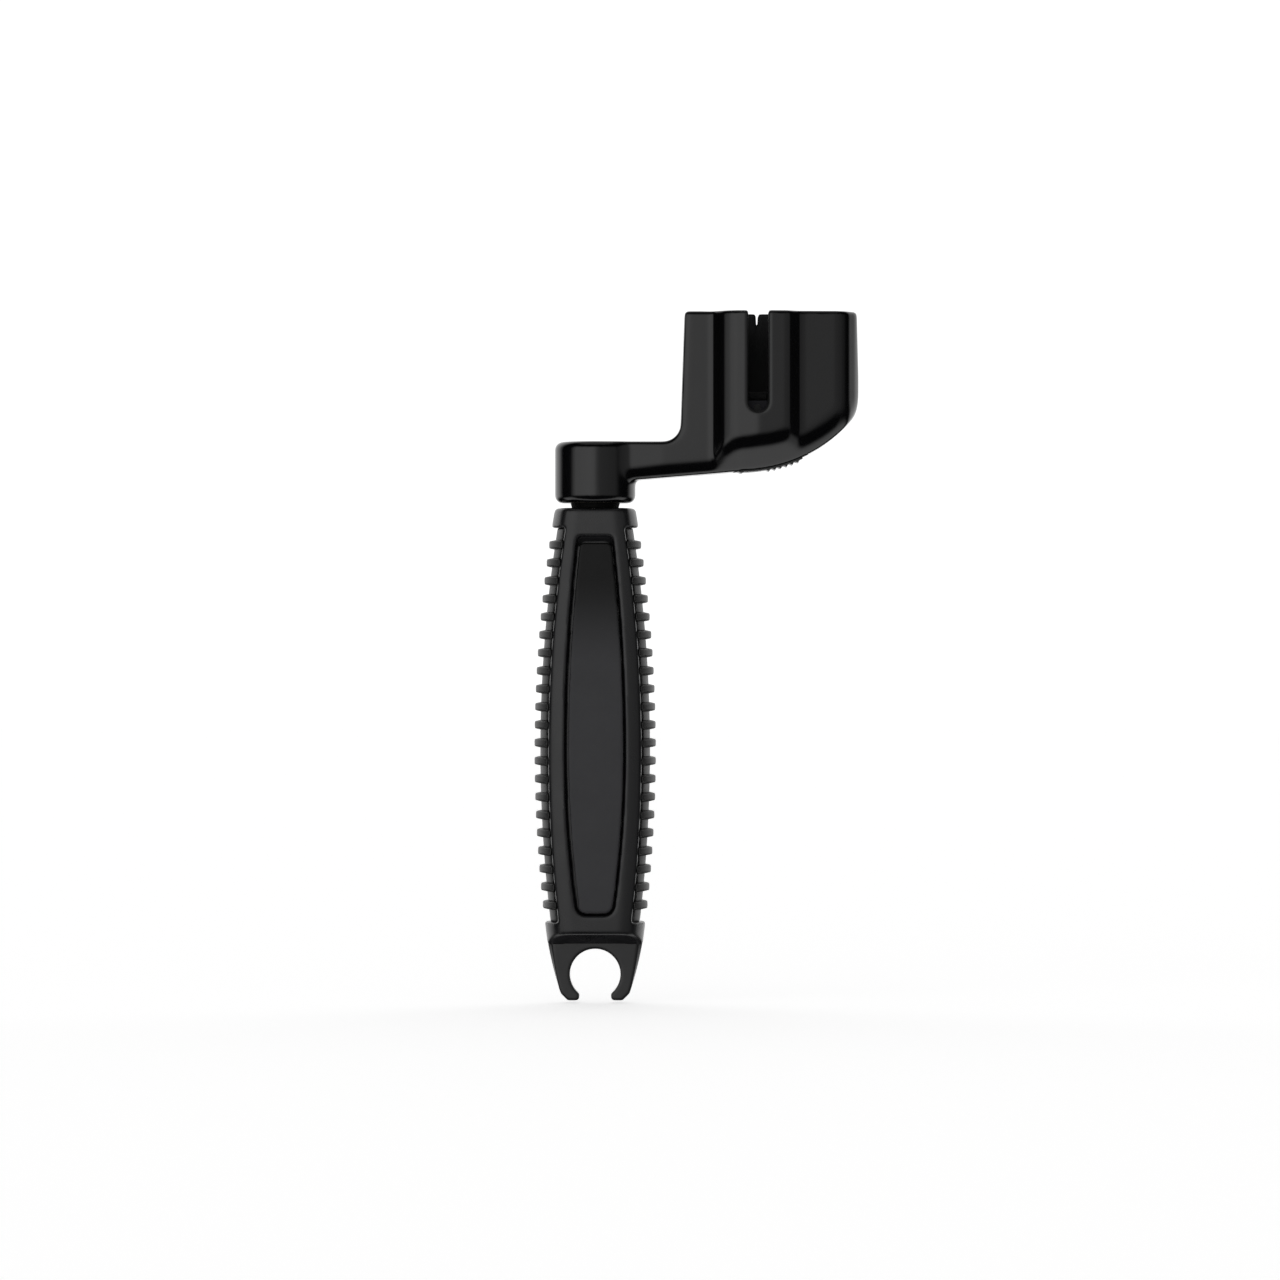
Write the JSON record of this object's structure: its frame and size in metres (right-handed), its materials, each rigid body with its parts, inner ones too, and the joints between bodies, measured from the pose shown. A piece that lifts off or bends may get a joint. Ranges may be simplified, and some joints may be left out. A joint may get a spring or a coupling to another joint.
{
  "type": "string winder",
  "caption": "Crank-handled winder for instrument strings: a slotted tuner socket with a sprung string cutter under it turns on a spindle in a ribbed handle that ends in a bridge-pin fork.",
  "frame": {"origin": "centre of the tuner socket's mouth, at the rim of the tower", "axes": "+Z out of the socket's mouth along the socket's axis, parallel to the spindle; +X along the arm from the spindle towards the tower; the slotted side of the tower faces -Y"},
  "size_m": [0.0745, 0.0228, 0.1581],
  "materials": {
    "crank_plastic": "high-gloss moulded black",
    "lever_plastic": "gloss moulded black",
    "fork_plastic": "semi-gloss moulded black",
    "collar_plastic": "plain moulded black",
    "frame_plastic": "satin, finely textured black",
    "grip_rubber": "soft satin black-grey",
    "panel_plastic": "fine spark-textured black",
    "bush_plastic": "natural bearing plastic",
    "spindle_steel": "ground steel",
    "spring_steel": "oiled spring steel",
    "blade_steel": "ground and hardened",
    "zinc_steel": "zinc-plated"
  },
  "bodies": {
    "crank": {"crank_arm": "crank_plastic", "spindle": "spindle_steel", "neck_collar": "collar_plastic", "thrust_washer": "spindle_steel", "retaining_ring": "spring_steel", "fixed_blade": "blade_steel", "blade_screws": "zinc_steel", "pivot_pin": "spindle_steel", "return_spring": "spring_steel"},
    "lever": {"cutter_lever": "lever_plastic", "moving_blade": "blade_steel", "blade_rivets": "zinc_steel"},
    "handle": {"handle_front_shell": "frame_plastic", "handle_rear_shell": "frame_plastic", "grip_left": "grip_rubber", "grip_right": "grip_rubber", "front_panel": "panel_plastic", "rear_panel": "panel_plastic", "shell_screws": "zinc_steel", "upper_bush": "bush_plastic", "lower_bush": "bush_plastic", "pin_puller": "fork_plastic"}
  },
  "joints": [
    {"name": "handle_spin", "type": "hinge", "parent": "crank", "child": "handle", "pos_m": [-0.0373, 0, -0.1], "axis": [0, 0, 1], "continuous": true},
    {"name": "cutter_squeeze", "type": "hinge", "parent": "crank", "child": "lever", "pos_m": [-0.0082, 0, -0.0326], "axis": [0, -1, 0], "range_deg": [0, 12], "stiffness_Nm_per_rad": 0.35, "springref_deg": -5.73, "deforming": ["return_spring"]}
  ]
}
